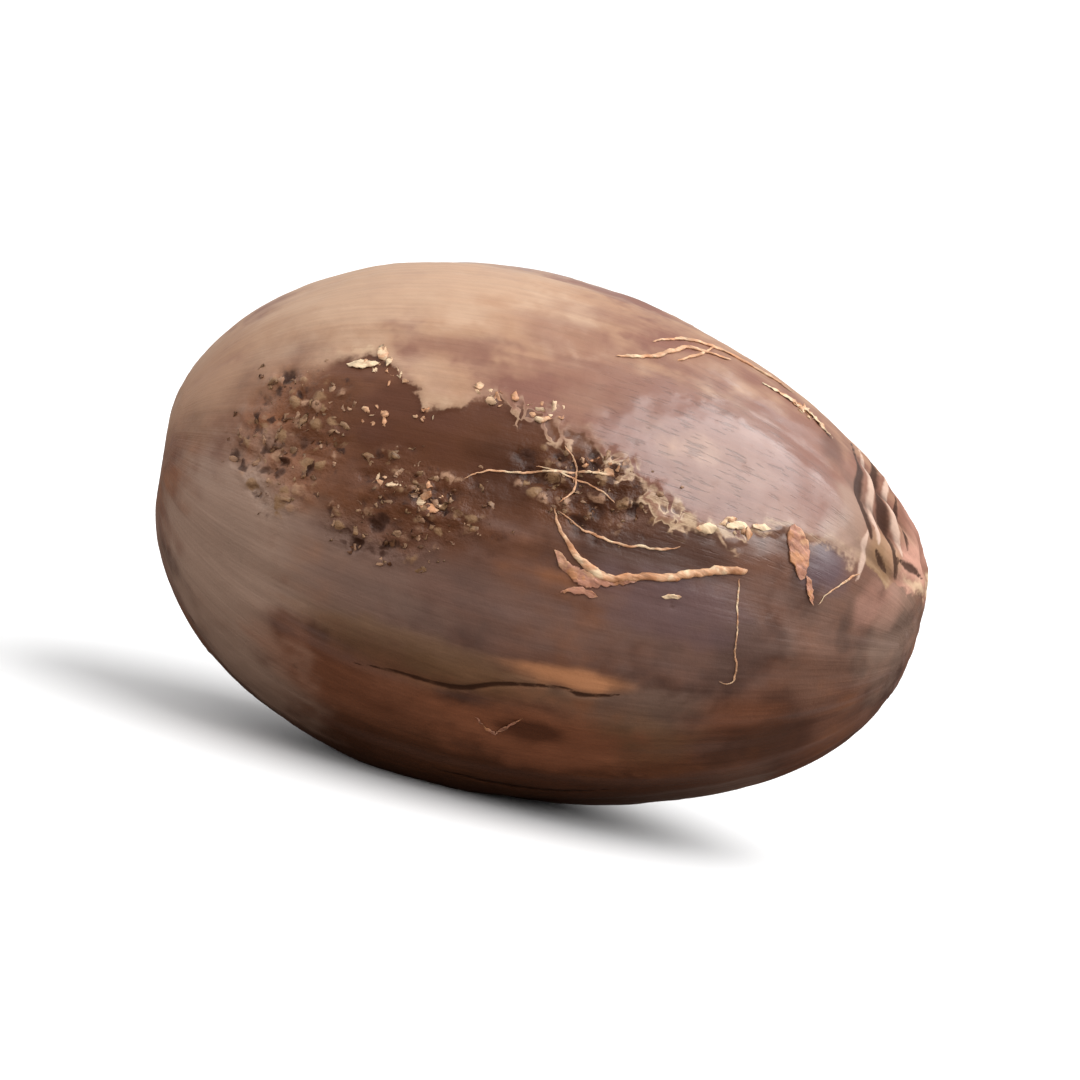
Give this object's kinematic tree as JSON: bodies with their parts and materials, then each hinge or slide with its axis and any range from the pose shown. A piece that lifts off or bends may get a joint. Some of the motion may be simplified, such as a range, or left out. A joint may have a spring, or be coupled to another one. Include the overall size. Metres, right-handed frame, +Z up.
{
  "type": "whole nutmeg",
  "caption": "Whole nutmeg in its brown woody shell, an egg-shaped seed lying on its side, with shallow lengthwise furrows and a folded scar at the slimmer end.",
  "frame": {"origin": "on the surface that the nutmeg lies on, under the middle of its box", "axes": "+X along the seed towards the hilum, the scar at its slimmer end; +Z up as it lies; -Y faces the viewer"},
  "size_m": [0.031, 0.02, 0.0204],
  "materials": {
    "nutmeg_shell": "hard polished brown seed shell, glossy in patches and dusty in others"
  },
  "bodies": {
    "root": {"nutmeg": "nutmeg_shell"}
  },
  "joints": []
}
